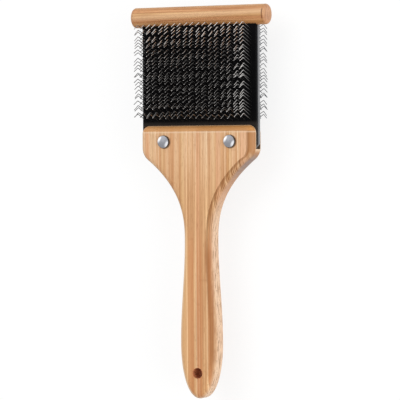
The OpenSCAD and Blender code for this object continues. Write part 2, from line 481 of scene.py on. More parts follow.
@dataclass(frozen=True)
class HandleWood:
    """The handle's bamboo, with painted shade along the right rim, painted highlights along the
    fork's top, its slot's arris and the grip's left rim, and paler and mottled on the sides."""

    wood: Bamboo
    deep_pale: Colour
    deep_dark: Colour
    amber: Colour
    # Colour of the painted shade on the fork's right rounding.
    fork_shade: Colour
    # Colour of the painted shade in a toothed line along the right rim.
    crease_shade: Colour
    # Colour of the painted shade in a wider strip along the grip's right rim.
    grip_shade: Colour
    shoulder: Colour
    flank: Colour
    side: Colour
    mottle: Colour
    speck: Colour
    end_grain: Colour
    # Colour of the painted highlights on the fork's top, the slot's arris and the grip's left rim.
    lip: Colour
    bore: Colour
    # Colour of the painted shade in the slot and round the rivets.
    slot: Colour
    comb_w: float = 1.0

    def material(self, shape: "Handle") -> bpy.types.Material:
        """Builds the material.

        Args:
            shape: the handle, for where its edges and its openings are.

        Returns:
            The new material.
        """
        kit = Kit(self.wood.name)
        at = Spot.on(kit, shape)
        deep = at.below.rise(2.0, 58.0) * 0.8 + at.below.rise(140.0, 182.0) * 0.2
        dark = kit.mix(deep, self.wood.dark, self.deep_dark)
        pale = kit.mix(deep, self.wood.pale, self.deep_pale)
        colour, hair, bundle = self.wood.body(kit, dark, pale)
        grip = at.below.rise(60.0, 90.0)
        colour = kit.paint(
            colour,
            (bundle.rise(0.50, 0.20) * grip * 0.50, self.amber),
            (bundle.rise(0.55, 0.85) * grip * 0.22, self.wood.pale),
        )
        colour = self.sides(at, colour)
        colour = self.right_edge(at, colour, bundle)
        colour = self.fork_edges(at, colour, shape.round_r / MM)
        colour, bored = self.openings(at, colour, shape)
        return self.wood.finish(kit, colour, hair, bored)

    def sides(self, at: Spot, colour: Shade) -> Shade:
        """Tints the sides: plain beside the neck, paler and mottled along the grip, with a painted
        highlight on the grip's left rim.

        Args:
            at: the place on the board.
            colour: the colour so far.

        Returns:
            The new colour.
        """
        patch = at.kit.noise(at.x * 0.45, at.y * 0.13, at.z * 0.8, 4.0)
        speck = at.kit.noise(at.x * 1.3, at.y * 0.5, at.z * 1.3)
        side = at.rim.rise(0.90, 0.05)
        grip = at.below.rise(60.0, 80.0)
        # Painted highlight on the grip's left rim.
        left_rim = at.rim.rise(0.98, 0.80) * at.x.rise(0.0, -3.0)
        tint = at.kit.mix(at.below.rise(24.0, 42.0), self.shoulder, self.flank)
        tint = at.kit.mix(at.below.rise(36.0, 66.0), tint, self.side)
        specks = (side * 0.6 + at.below.rise(135.0, 165.0) * 0.25) * speck.rise(0.60, 0.70)
        return at.kit.paint(
            colour,
            (side * at.below.rise(13.0, 20.0) * 0.85, tint),
            (side * patch.rise(0.47, 0.63) * at.below.rise(30.0, 75.0) * 0.75, self.mottle),
            (at.x.rise(-3.0, -8.0) * grip * 0.30, self.deep_pale),
            (left_rim * grip * 0.45, self.lip),
            (specks * at.below.rise(20.0, 50.0), self.speck),
        )

    def right_edge(self, at: Spot, colour: Shade, bundle: Term) -> Shade:
        """Paints shade along the right rim: on the fork's rounding, a line with teeth along the
        fibre bundles beside it down to the neck, and a wider strip that fades out along the grip.

        Args:
            at: the place on the board.
            colour: the colour so far.
            bundle: the tone of each bundle of fibres.

        Returns:
            The new colour.
        """
        kit, x, rim, below = at.kit, at.x, at.rim, at.below
        ragged = kit.noise(x * 0.3, at.y * 0.12, at.z * 0.3, 3.0)
        _, _, gap = kit.strips(x / self.comb_w + (ragged - 0.5) * 0.5, 7.0)
        teeth = gap.rise(0.34, 0.12) * bundle.rise(1.0, 0.2)
        face = rim.rise(FLAT, 0.9985) * at.right
        comb = (rim + (ragged - 0.5) * 0.5).rise(0.20, 0.75) * (teeth * 0.95 + 0.08)
        comb = comb * below.rise(16.0, 22.0) * below.rise(84.0, 56.0)
        line = rim.rise(0.88, 0.97) * (below.rise(13.0, 19.0) * teeth * 0.5 + 0.45)
        # The mask of the painted shade along the grip's right rim.
        worn = (rim + (ragged - 0.5) * 0.9).rise(0.25, 0.95)
        worn = worn * (x - below.rise(76.0, 145.0) * 3.1 + ragged * 1.5).rise(5.6, 7.6)
        # All of these coats are painted shade on the right half of the board.
        return kit.paint(
            colour,
            (rim.rise(FLAT, 0.96) * below.rise(24.0, 17.0) * at.right, self.fork_shade),
            (face * comb, self.crease_shade),
            (face * line * below.rise(106.0, 84.0), self.crease_shade),
            (worn * below.rise(66.0, 92.0) * below.rise(176.0, 152.0) * 0.75, self.grip_shade),
        )

    def fork_edges(self, at: Spot, colour: Shade, depth: float) -> Shade:
        """Tints the fork's edges: end grain along its top between two painted highlight lines, and
        a painted highlight on the arris along the slot.

        Args:
            at: the place on the board.
            colour: the colour so far.
            depth: radius of the rounded top, in millimetres.

        Returns:
            The new colour.
        """
        below = at.below
        crest = below.rise(0.75, 0.1)
        arris = at.rim.rise(0.22, 0.05) * below.rise(19.0, 16.0)
        ledge = below.rise(depth * 0.98, depth * 1.06) * below.rise(depth * 1.35, depth * 1.15)
        return at.kit.paint(
            colour,
            (below.rise(depth * 1.02, depth * 0.88) * 0.85, self.end_grain),
            # Painted highlights: a line below the rounded top, a line along its crest, and the
            # arris.
            (ledge * 0.45, self.lip),
            (crest * 0.5 + arris * 0.75 * (1 - crest), self.lip),
        )

    def openings(self, at: Spot, colour: Shade, shape: "Handle") -> tuple[Shade, Term]:
        """Tints what is cut into the board: the hanging hole's bore and painted shade on the
        slot's walls, and a painted shadow at the foot of each rivet, wider to its lower right.

        Args:
            at: the place on the board.
            colour: the colour so far.
            shape: the handle, for where its openings are.

        Returns:
            The new colour, and 1 inside the hole.
        """
        _, _, reach = at.from_axis(shape.hole_centre.x, shape.hole_centre.y)
        out, up, foot = at.from_axis(shape.rivet_x, shape.rivet_y)
        hand = at.x / (abs(at.x) + 0.1)
        # The painted shadow round each rivet reaches further to its lower right.
        foot = foot - out * hand * 0.10 + up * 0.05
        bored = reach.rise(shape.hole_r / MM + 0.20, shape.hole_r / MM + 0.02)
        wall, floor = shape.slot_t / MM / 2, shape.slot_depth / MM
        slot = at.height.rise(wall + 0.06, wall + 0.02) * at.below.rise(floor + 0.06, floor + 0.02)
        colour = at.kit.paint(
            colour,
            (bored, self.bore),
            # Painted shade on the slot's walls and floor.
            (slot * 0.9, self.slot),
            # Painted shadow round the foot of each rivet, in the slot's colour.
            (foot.rise(4.75, 4.30) * at.rim.rise(0.98, 1.0) * 0.65, self.slot),
        )
        return colour, bored


@dataclass(frozen=True)
class BarWood:
    """The top bar's bamboo: grain along the bar, paler ends with a dark rim, painted shade along
    its underside and top, and a painted highlight stripe along it.
    """

    wood: Bamboo
    rim: Colour
    end: Colour
    # Colour of the painted highlight stripe along the bar.
    painted_sheen: Colour
    # Colour of the painted shade along the bar's underside and top.
    under: Colour

    def material(self, shape: "TopBar") -> bpy.types.Material:
        """Builds the material.

        Args:
            shape: the bar, for where its ends are.

        Returns:
            The new material.
        """
        kit = Kit(self.wood.name)
        colour, hair, _ = self.wood.body(kit, self.wood.dark, self.wood.pale)
        x, y, z = kit.place()
        half, turn = shape.datum.bar_half / MM, shape.end_r / MM
        up, front = y - shape.datum.bar_y / MM, z - shape.datum.mid_z / MM
        reach = abs(x)
        face = reach.rise(half - turn * 1.1, half - turn * 0.2)
        grain = kit.noise(x * 0.2, y * 0.2, z * 1.3)
        notch = abs(up).rise(4.2, 2.6) * front.rise(1.0, 4.0) * x.rise(0.0, 1.0)
        ring = reach.rise(half - turn * 1.35, half - turn * 1.1)
        ring = ring * reach.rise(half - turn * 0.6, half - turn * 0.9)
        colour = kit.paint(
            colour,
            # Painted shade along the underside, and a little along the top.
            (up.rise(-1.5, -6.0) * 0.42 + up.rise(2.6, 5.4) * 0.12, self.under),
            # Painted highlight: a pale stripe along the bar.
            (abs(up - x * 0.03 - 0.6).rise(2.8, 0.4) * 0.36, self.painted_sheen),
            (face * 0.8, self.end),
            (face * grain.rise(0.42, 0.62) * 0.35, self.rim),
            (ring * (notch * 0.65 + 0.15), self.rim),
        )
        return self.wood.finish(kit, colour, hair, 0.0)


@dataclass(frozen=True)
class Rubber:
    """A moulded rubber pad with a faint grain, and dust where it meets the fork."""

    name: str
    base: Colour
    worn: Colour
    dust: Colour
    roughness: float
    gloss: float

    def material(self, datum: Datum) -> bpy.types.Material:
        """Builds the material.

        Args:
            datum: the frame's places, for the dust beside the fork.

        Returns:
            The new material.
        """
        kit = Kit(self.name)
        x, y, z = kit.place()
        cloud = kit.noise(x * 0.09, y * 0.09, z * 0.3, 3.0)
        pores = kit.noise(x * 2.2, y * 2.2, z * 2.2)
        dusty = (y - datum.fork_y / MM).rise(3.4, 0.6)
        coats = (cloud.rise(0.35, 0.7) * 0.6, self.worn), (dusty * 0.8, self.dust)
        kit.feed(kit.shader, {
            "Base Color": kit.paint(self.base, *coats),
            "Roughness": pores * 0.12 + self.roughness,
            "Specular IOR Level": self.gloss,
            "Normal": kit.relief(pores, 0.08 * MM, 0.35),
        })
        return kit.material


@dataclass(frozen=True)
class Steel:
    """Drawn or rolled steel, finely scratched along one direction. Its colour is darker at its
    foot, as painted shade among the pins, lighter from a given height on, as polish and painted
    highlight together, and darker along the left side of the head, as painted shade."""

    name: str
    # Colour of the painted shade along the left side of the head.
    left_shade: Colour
    # foot is painted shade among the pins; the colour from polish_z up is polish and painted
    # highlight together.
    foot: Colour
    shank: Colour
    polish_and_glint: Colour
    roughness: float
    foot_z: float
    polish_z: float
    metal: float = 1.0

    def material(self, datum: Datum) -> bpy.types.Material:
        """Builds the material.

        Args:
            datum: the frame's places, for the height above the middle of the head.

        Returns:
            The new material.
        """
        kit = Kit(self.name)
        x, y, z = kit.place()
        height = abs(z - datum.mid_z / MM)
        draw = kit.noise(x * 3.0, y * 3.0, z * 0.5)
        top = self.polish_z / MM
        polish = height.rise(top - 1.2, top + 0.6)
        # Darker at the foot as painted shade among the pins, lighter at the top as polish and
        # painted highlight.
        colour = kit.paint(
            self.foot,
            (height.rise(self.foot_z / MM, top), self.shank),
            (polish, self.polish_and_glint),
            # Painted shade along the left side of the head.
            (x.rise(-30.0, -36.0) * 0.7, self.left_shade),
        )
        kit.feed(kit.shader, {
            "Base Color": colour,
            "Roughness": draw * 0.12 + self.roughness - polish * 0.08,
            "Metallic": self.metal,
            "Normal": kit.relief(draw, 0.02 * MM, 0.2),
        })
        return kit.material


@dataclass(frozen=True)
class TurnedMetal:
    """A rivet head faced on a lathe: fine rings, a painted highlight in two wedges, and painted
    shade on its wall and rim, heavier to the right.
    """

    name: str
    base: Colour
    rim: Colour
    # Colour of the painted highlight in two wedges.
    painted_glint: Colour
    # Colour of the painted shade on the head's side wall and rim.
    wall: Colour
    roughness: float

    def material(self, shape: "Rivet") -> bpy.types.Material:
        """Builds the material.

        Args:
            shape: the rivet, for its axis and the radius of its head.

        Returns:
            The new material.
        """
        kit = Kit(f"{self.name}_{shape.side}")
        x, y, _ = kit.place()
        radius = shape.head_r / MM
        dx, dy = x - shape.centre.x / MM, y - shape.centre.y / MM
        reach = (dx * dx + dy * dy) ** 0.5
        rings = kit.noise(reach * 5.0, 0.0, 0.0, 3.0)
        ray = kit.noise(dx / (reach + 0.2) * 9.0, dy / (reach + 0.2) * 9.0, reach * 0.1, 1.0)
        glint_wedge = ((dx * 0.88 - dy * 0.48) / (reach + 0.15)) ** 2.0 * reach.rise(0.3, radius * 0.8)
        # Painted shade round the rim, pushed to the right.
        shaded = (reach + (dx * 0.95 + dy * 0.1) * 0.14).rise(radius - 0.10, radius + 0.30)
        colour = kit.paint(
            self.base,
            (ray * 0.6, self.rim),
            # Painted highlight in two wedges across the face.
            (glint_wedge.rise(0.35, 0.95) * 0.9, self.painted_glint),
            # Painted shade: round the rim, heavier to the right, and on the side wall.
            (shaded * 0.85, self.wall),
            (reach.rise(radius - 0.10, radius - 0.02), self.wall),
        )
        kit.feed(kit.shader, {
            "Base Color": colour,
            "Roughness": rings * 0.18 + self.roughness,
            "Metallic": 1.0,
            "Normal": kit.relief(rings, 0.05 * MM, 0.6),
        })
        return kit.material


HANDLE_WOOD = HandleWood(
    wood=Bamboo(
        name="bamboo_strips",
        grain=Grain.ALONG_HANDLE,
        strip_w=2.9,
        fibre_w=1.15,
        seed=4.0,
        pale=srgb(255, 224, 184),
        dark=srgb(222, 162, 108),
        rosy=srgb(226, 162, 120),
        straw=srgb(222, 178, 120),
        streak=srgb(188, 126, 78),
        joint=srgb(160, 102, 56),
        streak_share=0.6,
    ),
    deep_pale=srgb(255, 206, 148),
    deep_dark=srgb(164, 100, 50),
    amber=srgb(208, 132, 78),
    # Colours of the painted shade along the right rim.
    fork_shade=srgb(184, 130, 82),
    crease_shade=srgb(138, 84, 34),
    grip_shade=srgb(162, 102, 54),
    shoulder=srgb(128, 110, 106),
    flank=srgb(196, 146, 110),
    side=srgb(242, 208, 176),
    mottle=srgb(172, 128, 90),
    speck=srgb(126, 84, 50),
    end_grain=srgb(208, 146, 82),
    # lip is the colour of the painted highlights.
    lip=srgb(248, 218, 184),
    bore=srgb(192, 122, 82),
    # slot is the colour of the painted shade in the slot and round the rivets.
    slot=srgb(66, 42, 26),
)
BAR_WOOD = BarWood(
    wood=Bamboo(
        name="bamboo_dowel",
        grain=Grain.ALONG_BAR,
        strip_w=2.2,
        fibre_w=1.1,
        seed=9.0,
        pale=srgb(255, 208, 150),
        dark=srgb(168, 106, 54),
        rosy=srgb(218, 152, 106),
        straw=srgb(212, 164, 104),
        streak=srgb(162, 98, 48),
        joint=srgb(138, 82, 38),
        streak_share=0.8,
    ),
    rim=srgb(120, 68, 34),
    end=srgb(206, 152, 112),
    # Painted highlight stripe along the bar.
    painted_sheen=srgb(248, 206, 164),
    # Painted shade along the bar's underside and top.
    under=srgb(184, 98, 20),
)
BLACK_RUBBER = Rubber(
    name="black_pad_rubber",
    base=srgb(8, 7, 9),
    worn=srgb(14, 12, 13),
    dust=srgb(50, 45, 42),
    roughness=0.75,
    gloss=0.05,
)
GREY_RUBBER = Rubber(
    name="grey_pad_rubber",
    base=srgb(128, 128, 130),
    worn=srgb(156, 156, 158),
    dust=srgb(140, 140, 142),
    roughness=0.6,
    gloss=0.4,
)
SHEET_STEEL = Steel(
    name="leaf_steel",
    left_shade=srgb(74, 76, 80),
    foot=srgb(74, 76, 80),
    shank=srgb(74, 76, 80),
    polish_and_glint=srgb(84, 86, 90),
    roughness=0.4,
    foot_z=0.1 * MM,
    polish_z=2 * MM,
)
# foot and shank are painted shade among the pins; the top colour is polish and painted highlight.
FRONT_WIRE = Steel(
    name="front_pin_wire",
    left_shade=srgb(64, 64, 66),
    foot=srgb(84, 82, 81),
    shank=srgb(120, 118, 117),
    polish_and_glint=srgb(226, 223, 220),
    roughness=0.16,
    foot_z=6 * MM,
    polish_z=15.8 * MM,
    metal=0.85,
)
# A darker copy of the front wire: painted shade on the pins under the head.
SHADED_BACK_WIRE = Steel(
    name="back_pin_wire_shaded",
    left_shade=srgb(60, 62, 66),
    foot=srgb(50, 52, 56),
    shank=srgb(76, 78, 82),
    polish_and_glint=srgb(104, 106, 110),
    roughness=0.28,
    foot_z=6 * MM,
    polish_z=15.8 * MM,
)
RIVET_METAL = TurnedMetal(
    name="rivet_alloy",
    base=srgb(144, 145, 150),
    rim=srgb(112, 113, 119),
    # Colour of the painted highlight.
    painted_glint=srgb(230, 231, 234),
    # Colour of the painted shade on the head's wall and rim.
    wall=srgb(66, 56, 46),
    roughness=0.40,
)


def shade(piece: bpy.types.Object, sharp: float) -> None:
    """Shades a piece smooth, except at edges that turn by more than sharp degrees."""
    piece.data.shade_smooth()
    piece.data.set_sharp_from_angle(angle=math.radians(sharp))


def put_mesh(name: str, points: np.ndarray, faces: list, sharp: float = 30.0) -> bpy.types.Object:
    """Makes a new piece.

    Args:
        name: the piece's name.
        points: its vertices, one row each.
        faces: its faces, as rows of vertex numbers.
        sharp: edges that turn by more than this angle, in degrees, stay sharp.

    Returns:
        The new object, at the origin.
    """
    mesh = bpy.data.meshes.new(name)
    mesh.from_pydata(points, [], faces)
    mesh.update()
    mesh.validate()
    made = bpy.data.objects.new(name, mesh)
    bpy.context.scene.collection.objects.link(made)
    shade(made, sharp)
    return made


def tidy(piece: bpy.types.Object, sharp: float) -> None:
    """Merges doubled points, drops empty faces and turns every face outwards.

    Args:
        piece: a closed piece.
        sharp: angle in degrees over which edges stay sharp.
    """
    work = bmesh.new()
    work.from_mesh(piece.data)
    bmesh.ops.remove_doubles(work, verts=work.verts, dist=SAME)
    bmesh.ops.dissolve_degenerate(work, edges=work.edges, dist=SAME)
    bmesh.ops.recalc_face_normals(work, faces=work.faces)
    work.to_mesh(piece.data)
    work.free()
    shade(piece, sharp)


def even_flats(piece: bpy.types.Object) -> None:
    """Evens the shading of a piece's flats."""
    piece.modifiers.new("even_flats", "WEIGHTED_NORMAL").keep_sharp = True


def tube_faces(rings: int, around: int) -> np.ndarray:
    """Quads between rings of points: each point, the next one in its ring, and the same two
    in the next ring.

    Args:
        rings: number of rings.
        around: number of points in each.

    Returns:
        The quads, as rows of vertex numbers.
    """
    i, j = np.meshgrid(np.arange(rings - 1), np.arange(around), indexing="ij")
    here, beside = i * around + j, i * around + (j + 1) % around
    return np.stack([here, beside, beside + around, here + around], -1).reshape(-1, 4)


def lathe(
    name: str,
    profile: np.ndarray,
    centre: Vector,
    spin: Spin = Spin.ROUND_Z,
    around: int = 64,
    sharp: float = 30.0,
) -> bpy.types.Object:
    """Turns a profile round an axis: radius times cosine and sine of the turn, and a level.

    Args:
        name: the piece's name.
        profile: rows of radius and level, from one point on the axis to another.
        centre: a point on the axis.
        spin: the axis.
        around: number of steps round the axis.
        sharp: angle in degrees over which edges stay sharp.

    Returns:
        The new object.
    """
    turn = np.linspace(0, 2 * np.pi, around, endpoint=False)
    radius, level = profile[:, 0:1], profile[:, 1:2]
    parts = np.broadcast_arrays(radius * np.cos(turn), radius * np.sin(turn), level)
    points = np.stack([parts[k] for k in spin.value], -1).reshape(-1, 3) + np.array(centre)
    made = put_mesh(name, points, tube_faces(len(profile), around).tolist(), sharp)
    tidy(made, sharp)
    return made


def carve(piece: bpy.types.Object, cutters: list[bpy.types.Object], sharp: float) -> None:
    """Cuts closed shapes out of a piece, and evens the shading of its flats.

    Args:
        piece: the piece that is cut.
        cutters: closed shapes, which are deleted afterwards.
        sharp: angle in degrees over which edges stay sharp.
    """
    for cutter in cutters:
        cut = piece.modifiers.new("cut", "BOOLEAN")
        cut.operation = "DIFFERENCE"
        cut.solver = "EXACT"
        cut.object = cutter
    graph = bpy.context.evaluated_depsgraph_get()
    mesh = bpy.data.meshes.new_from_object(piece.evaluated_get(graph))
    piece.modifiers.clear()
    piece.data = mesh
    for cutter in cutters:
        bpy.data.objects.remove(cutter)
    tidy(piece, sharp)
    even_flats(piece)


def block(name: str, low: tuple, high: tuple) -> bpy.types.Object:
    """A box that cuts a slot. Each corner is the lowest one plus none or all of the size
    along each axis.

    Args:
        name: the box's name.
        low: its lowest corner.
        high: its highest corner.

    Returns:
        The new object.
    """
    share = np.indices((2, 2, 2)).reshape(3, -1).T[:, ::-1]
    points = np.array(low) + share * (np.array(high) - np.array(low))
    faces = [(0, 2, 3, 1), (4, 5, 7, 6), (0, 1, 5, 4), (2, 6, 7, 3), (0, 4, 6, 2), (1, 3, 7, 5)]
    return put_mesh(name, points, faces)


def settle(piece: bpy.types.Object, look: bpy.types.Material, node: str) -> None:
    """Dresses a piece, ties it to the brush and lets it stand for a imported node.

    Args:
        piece: the new piece.
        look: its material.
        node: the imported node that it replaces.
    """
    piece.data.materials.clear()
    piece.data.materials.append(look)
    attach(piece, BODY)
    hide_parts(node)
    count = sum(len(p.vertices) - 2 for p in piece.data.polygons)
    log.info("%s: %d triangles, replaces %s", piece.name, count, node)


@dataclass
class Handle:
    """One bamboo board: fork, shoulders, neck and grip, with a slot and three bores."""

    datum: Datum
    length: float = 182 * MM
    thickness: float = 14.4 * MM
    fork_w: float = 83.8 * MM
    edge_r: float = 4 * MM
    fork_r: float = 5.4 * MM
    side_len: float = 14.8 * MM
    shoulder_r: float = 10 * MM
    shoulder_angle: float = 52.0
    flare_power: float = 2.5
    neck_w: float = 21 * MM
    grip_w: float = 27.2 * MM
    grip_end: float = 37 * MM
    grip_power: float = 2.1
    slot_t: float = 6.5 * MM
    slot_depth: float = 16 * MM
    rivet_x: float = 24.4 * MM
    rivet_drop: float = 10.7 * MM
    rivet_bore_r: float = 2.05 * MM
    hole_r: float = 3.5 * MM
    hole_ease: float = 0.15 * MM
    hole_from_tip: float = 17 * MM
    end_angle: float = 82.0
    tip_from: float = 36.0
    tip_to: float = 9.0
    top_rings: int = 15
    body_rings: int = 90
    end_rings: int = 26
    tip_rings: int = 8
    corner_steps: int = 12
    corner_share: float = 0.98
    flat_steps: int = 3
    slope_step: float = 0.05 * MM
    ease_steps: int = 6
    bore_steps: int = 40
    sharp: float = 32.0

    @property
    def round_r(self) -> float:
        """Radius of the edges, which the wall of the fork limits."""
        return min(self.edge_r, (self.thickness - self.slot_t) / 2)

    @property
    def core_half(self) -> float:
        """Half the height of the flat part of the sides."""
        return self.thickness / 2 - self.round_r

    @property
    def arc_end(self) -> float:
        """Level where the shoulder's arc ends."""
        return self.side_len + self.shoulder_r * math.sin(math.radians(self.shoulder_angle))

    @property
    def rivet_y(self) -> float:
        """Place of the rivets along the board."""
        return self.datum.fork_y - self.rivet_drop

    @property
    def hole_centre(self) -> Vector:
        """Middle of the hanging hole."""
        level = self.datum.fork_y - self.length + self.hole_from_tip
        return Vector((0, level, self.datum.mid_z))

    def half_width(self, below: np.ndarray) -> np.ndarray:
        """Half the width at distances below the fork's top: a straight side, an arc for
        the shoulder, a power curve to the neck, a cosine swell and a superellipse at the tip.

        Args:
            below: distances below the top of the fork.

        Returns:
            Half the width at each.
        """
        angle = math.radians(self.shoulder_angle)
        arc_half = self.fork_w / 2 - self.shoulder_r * (1 - math.cos(angle))
        flare = arc_half - self.neck_w / 2
        neck = self.arc_end + self.flare_power * flare / math.tan(angle)
        grip = self.length - self.grip_end
        swell = (self.grip_w - self.neck_w) / 4
        drop = np.clip(self.shoulder_r**2 - (below - self.side_len) ** 2, 0, None)
        shoulder = self.fork_w / 2 - self.shoulder_r + np.sqrt(drop)
        share = np.clip(1 - (below - self.arc_end) / (neck - self.arc_end), 0, 1)
        curve = self.neck_w / 2 + flare * share**self.flare_power
        wave = self.neck_w / 2 + swell * (1 - np.cos(np.pi * (below - neck) / (grip - neck)))
        share = np.clip((below - grip) / self.grip_end, 0, 1) ** self.grip_power
        end = self.grip_w / 2 * (1 - share) ** (1 / self.grip_power)
        side = np.full_like(below, self.fork_w / 2)
        bands = [below <= limit for limit in (self.side_len, self.arc_end, neck, grip)]
        return np.select(bands, [side, shoulder, curve, wave], end)

    def levels(self) -> np.ndarray:
        """Levels of the rings, close where the outline turns: cosine steps at the fork's
        top and at the very tip, even ones between, and sine steps in the grip's end.

        Returns:
            Distances below the fork's top.
        """
        grip = self.length - self.grip_end
        top = self.fork_r * (1 - np.cos(arc(0, 90, self.top_rings)))
        middle = np.linspace(self.fork_r, grip, self.body_rings)
        end = grip + self.grip_end * np.sin(arc(0, self.end_angle, self.end_rings))
        turn = arc(self.tip_from, self.tip_to, self.tip_rings)
        tip = self.length - self.round_r * (1 - np.cos(turn))
        return np.unique(np.concatenate([top, middle[1:], end[1:], tip]))

    def rings(self) -> np.ndarray:
        """Rings of the surface: at each level a rectangle whose corners are quarter
        ellipses. They are as high as the rounding allows there, as wide as the fork's own
        corners at its top, and as the outline's slope asks further down.

        Returns:
            Points by ring, place in the ring, and coordinate.
        """
        below = self.levels()
        first = self.round_r * (1 - math.cos(math.radians(self.tip_to)))
        room = self.round_r - np.minimum(below + first, self.length - below)
        rise = np.sqrt(self.round_r**2 - np.clip(room, 0, None) ** 2)
        room = self.fork_r - np.minimum(below + first, self.fork_r)
        top_x = np.sqrt(self.fork_r**2 - room**2)
        half = self.half_width(below) - self.fork_r + top_x
        step = self.slope_step
        slope = (self.half_width(below + step) - self.half_width(below - step)) / (2 * step)
        slant = self.round_r * np.sqrt(1 + slope**2)
        bands = [below <= self.side_len, below <= self.arc_end]
        choices = [top_x, np.maximum(self.fork_r, slant)]
        corner = np.select(bands, choices, np.minimum(self.corner_share * half, slant))
        turn = arc(0, 90, self.corner_steps + 1)
        flat = np.linspace(0, 1, self.flat_steps + 2)[1:-1]
        quarter_x = (half - corner)[:, None] + corner[:, None] * np.cos(turn)
        quarter_z = self.core_half + rise[:, None] * np.sin(turn)
        flat_x = (half - corner)[:, None] * (1 - 2 * flat)
        flat_z = np.broadcast_to((self.core_half + rise)[:, None], flat_x.shape)
        x = np.concatenate([quarter_x, flat_x, -quarter_x[:, ::-1]], 1)
        z = np.concatenate([quarter_z, flat_z, quarter_z[:, ::-1]], 1)
        x, z = np.concatenate([x, -x], 1), np.concatenate([z, -z], 1)
        y = np.broadcast_to(-below[:, None], x.shape)
        return np.stack([x, y + self.datum.fork_y, z + self.datum.mid_z], -1)

    def hole_cutter(self) -> bpy.types.Object:
        """The hanging hole, with its mouths eased by a small quarter round.

        Returns:
            The closed shape of the hole.
        """
        ease, top = self.hole_ease, self.thickness / 2
        turn = arc(0, 90, self.ease_steps)
        lip_r, lip_z = self.hole_r + ease * (1 - np.cos(turn)), top - ease + ease * np.sin(turn)
        mouth = [(lip_r[-1], top + CUT_OVER), (0, top + CUT_OVER)]
        half = np.concatenate([np.stack([lip_r, lip_z], -1), mouth])
        profile = np.concatenate([half[::-1] * (1, -1), half])
        return lathe("hole", profile, self.hole_centre)

    def rivet_cutter(self, hand: Hand) -> bpy.types.Object:
        """The bore for one rivet.

        Args:
            hand: the rivet's side.

        Returns:
            The closed shape of the bore.
        """
        over, bore = self.thickness / 2 + CUT_OVER, self.rivet_bore_r
        profile = np.array([[0, -over], [bore, -over], [bore, over], [0, over]])
        centre = Vector((hand.value * self.rivet_x, self.rivet_y, self.datum.mid_z))
        return lathe("bore", profile, centre, around=self.bore_steps)

    def slot_cutter(self) -> bpy.types.Object:
        """The slot that the head sits in, open at both sides.

        Returns:
            The closed shape of the slot.
        """
        y, z = self.datum.fork_y, self.datum.mid_z
        low = (-self.fork_w, y - self.slot_depth, z - self.slot_t / 2)
        high = (self.fork_w, y + self.slot_depth, z + self.slot_t / 2)
        return block("slot", low, high)

    def build(self) -> None:
        """Makes the board, cuts it and dresses it."""
        rings = self.rings()
        count, around = rings.shape[:2]
        faces = tube_faces(count, around).tolist()
        faces.append(list(range(around))[::-1])
        faces.append([(count - 1) * around + k for k in range(around)])
        board = put_mesh("bamboo_handle", rings.reshape(-1, 3), faces, self.sharp)
        tidy(board, self.sharp)
        bores = [self.rivet_cutter(hand) for hand in Hand]
        carve(board, [self.slot_cutter(), self.hole_cutter(), *bores], self.sharp)
        settle(board, HANDLE_WOOD.material(self), "handle")


@dataclass
class TopBar:
    """A turned bamboo bar over the head's upper edge, slotted to take it."""

    datum: Datum
    diameter: float = 13.6 * MM
    end_r: float = 2 * MM
    slot_w: float = 83.9 * MM
    slot_t: float = 6.5 * MM
    slot_depth: float = 7 * MM
    end_steps: int = 10
    body_steps: int = 12
    around: int = 96
    sharp: float = 40.0

    def profile(self) -> np.ndarray:
        """A straight barrel with quarter rounds at both ends.

        Returns:
            Rows of radius and level.
        """
        turn = arc(0, 90, self.end_steps + 1)
        half, radius = self.datum.bar_half, self.diameter / 2
        round_r = radius - self.end_r * (1 - np.sin(turn))
        round_z = half - self.end_r * (1 - np.cos(turn))
        end = np.concatenate([[(0, half)], np.stack([round_r, round_z], -1)])
        levels = np.linspace(-1, 1, self.body_steps + 2)[1:-1] * (half - self.end_r)
        barrel = np.stack([np.full_like(levels, radius), levels], -1)
        return np.concatenate([end * (1, -1), barrel, end[::-1]])

    def build(self) -> None:
        """Turns the bar, cuts its slot and dresses it."""
        y, z = self.datum.bar_y, self.datum.mid_z
        centre = Vector((0, y, z))
        bar = lathe("bamboo_bar", self.profile(), centre, Spin.ROUND_X, self.around, self.sharp)
        under = y - self.diameter / 2
        low = (-self.slot_w / 2, under - CUT_OVER, z - self.slot_t / 2)
        high = (self.slot_w / 2, under + self.slot_depth, z + self.slot_t / 2)
        carve(bar, [block("bar_slot", low, high)], self.sharp)
        settle(bar, BAR_WOOD.material(self), "top_bar")


